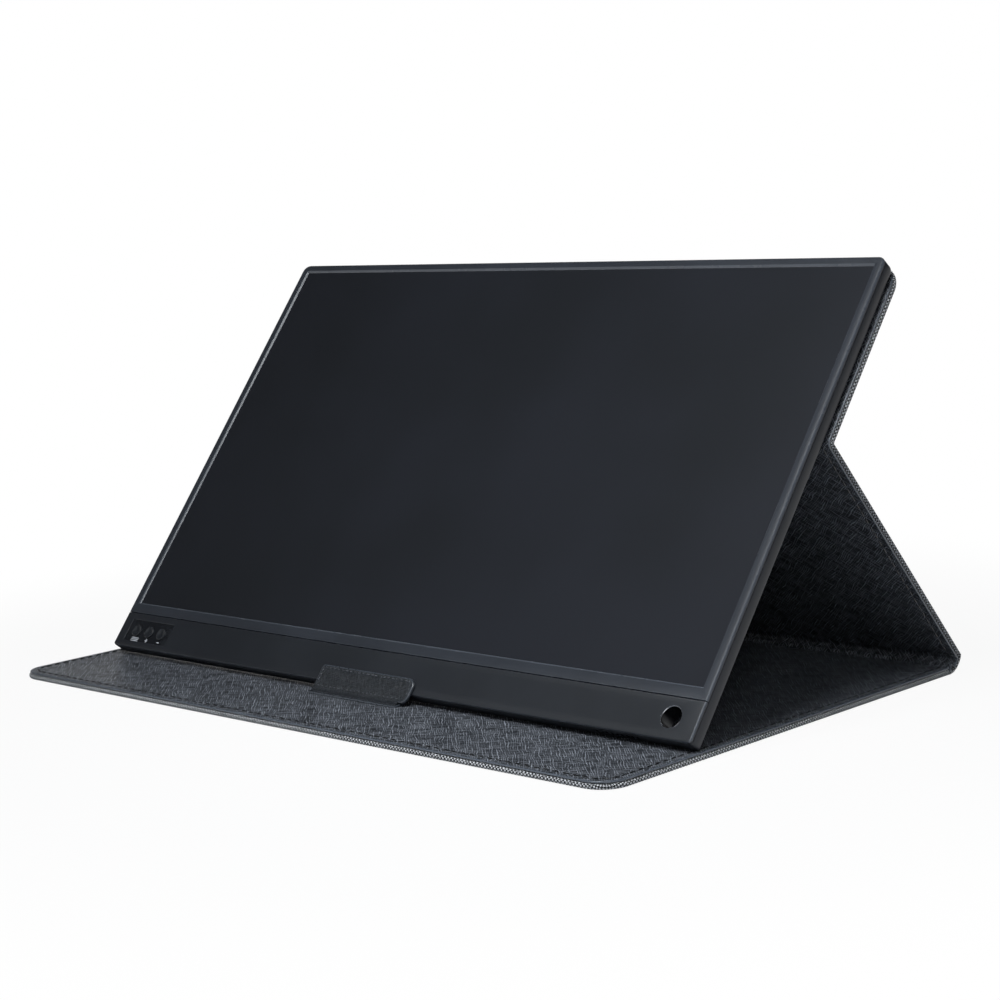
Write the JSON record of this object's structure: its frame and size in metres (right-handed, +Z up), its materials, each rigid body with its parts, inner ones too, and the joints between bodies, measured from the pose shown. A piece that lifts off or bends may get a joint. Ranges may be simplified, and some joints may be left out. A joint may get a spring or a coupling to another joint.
{
  "type": "portable monitor with folding stand cover",
  "caption": "Flat portable monitor standing on its folding magnetic cover, with a chin of push keys and a round stand hole.",
  "frame": {"origin": "middle of the whole object's width and depth, on the surface that it stands on", "axes": "+X across the screen to the viewer's right, -Y towards the viewer, +Z up"},
  "size_m": [0.3654, 0.239, 0.1825],
  "materials": {
    "frame_plastic": "fine matt texture",
    "chin_plastic": "fine matt texture",
    "housing_plastic": "fine matt texture",
    "key_plate_gloss": "smooth",
    "key_plastic": "satin",
    "screen_glass": "anti-glare satin",
    "light_guide": "clear acrylic with films",
    "light_strip": "white diodes in yellow gel",
    "steel": "rolled sheet",
    "socket_steel": "drawn and plated",
    "sleeve_metal": "turned",
    "circuit_board": "green solder mask",
    "ribbon": "amber film",
    "black_plastic": "plain",
    "magnet": "nickel plated",
    "woven_fabric": "grey melange weave",
    "leather": "fine cross grain",
    "leather_dark": "fine cross grain",
    "cover_board": "grey board"
  },
  "bodies": {
    "base_panel": {"base_fabric": "woven_fabric", "base_board": "cover_board", "base_liner": "leather", "base_magnets": "magnet", "tab_flange": "leather_dark"},
    "spine": {"spine_fabric": "woven_fabric", "spine_liner": "leather_dark"},
    "leg_panel": {"leg_fabric": "woven_fabric", "leg_board": "cover_board", "leg_liner": "leather", "crease_strip": "leather_dark"},
    "display": {"front_frame": "frame_plastic", "chin_strip": "chin_plastic", "rear_housing": "housing_plastic", "stand_hole_sleeve": "sleeve_metal", "key_plate": "key_plate_gloss", "screen_glass": "screen_glass", "light_guide": "light_guide", "light_strip": "light_strip", "screen_tray": "steel", "main_board": "circuit_board", "driver_board": "circuit_board", "key_board": "circuit_board", "key_switches": "steel", "ribbon_cable": "ribbon", "speaker_left": "black_plastic", "speaker_right": "black_plastic", "usb_socket_lower": "socket_steel", "usb_socket_upper": "socket_steel", "video_socket": "socket_steel", "sound_socket": "black_plastic", "housing_screws": "steel", "back_plate": "steel", "upper_fabric": "woven_fabric", "upper_board": "cover_board", "upper_liner": "leather", "upper_magnets": "magnet"},
    "tab": {"tab_leaf": "leather", "tab_stiffener": "steel"},
    "menu_button": {"menu_key": "key_plastic"},
    "plus_button": {"plus_key": "key_plastic"},
    "minus_button": {"minus_key": "key_plastic"}
  },
  "joints": [
    {"name": "spine_open", "type": "hinge", "parent": "base_panel", "child": "spine", "pos_m": [0, 0.11818, 0.00037], "axis": [-1, 0, 0], "range_deg": [0, 91.7], "deforming": ["spine_fabric", "spine_liner"]},
    {"name": "leg_raise", "type": "hinge", "parent": "spine", "child": "leg_panel", "pos_m": [0, 0.11833, 0.00766], "axis": [-1, 0, 0], "range_deg": [0, 39.9]},
    {"name": "crease_fold", "type": "hinge", "parent": "leg_panel", "child": "display", "pos_m": [0, 0.02702, 0.11046], "axis": [-1, 0, 0], "range_deg": [-79.8, 0], "deforming": ["crease_strip"]},
    {"name": "tab_fold", "type": "hinge", "parent": "base_panel", "child": "tab", "pos_m": [0, -0.0732, 0.0051], "axis": [1, 0, 0], "range_deg": [0, 128.4]},
    {"name": "menu_press", "type": "slide", "parent": "display", "child": "menu_button", "axis": [0, 0.7837, -0.6211], "range_m": [0, 0.0006], "stiffness_N_per_m": 800, "springref_m": -0.0008},
    {"name": "plus_press", "type": "slide", "parent": "display", "child": "plus_button", "axis": [0, 0.7837, -0.6211], "range_m": [0, 0.0006], "stiffness_N_per_m": 800, "springref_m": -0.0008},
    {"name": "minus_press", "type": "slide", "parent": "display", "child": "minus_button", "axis": [0, 0.7837, -0.6211], "range_m": [0, 0.0006], "stiffness_N_per_m": 800, "springref_m": -0.0008}
  ],
  "couplings": [
    {"joint": "crease_fold", "follows": "leg_raise", "ratio": -2}
  ]
}
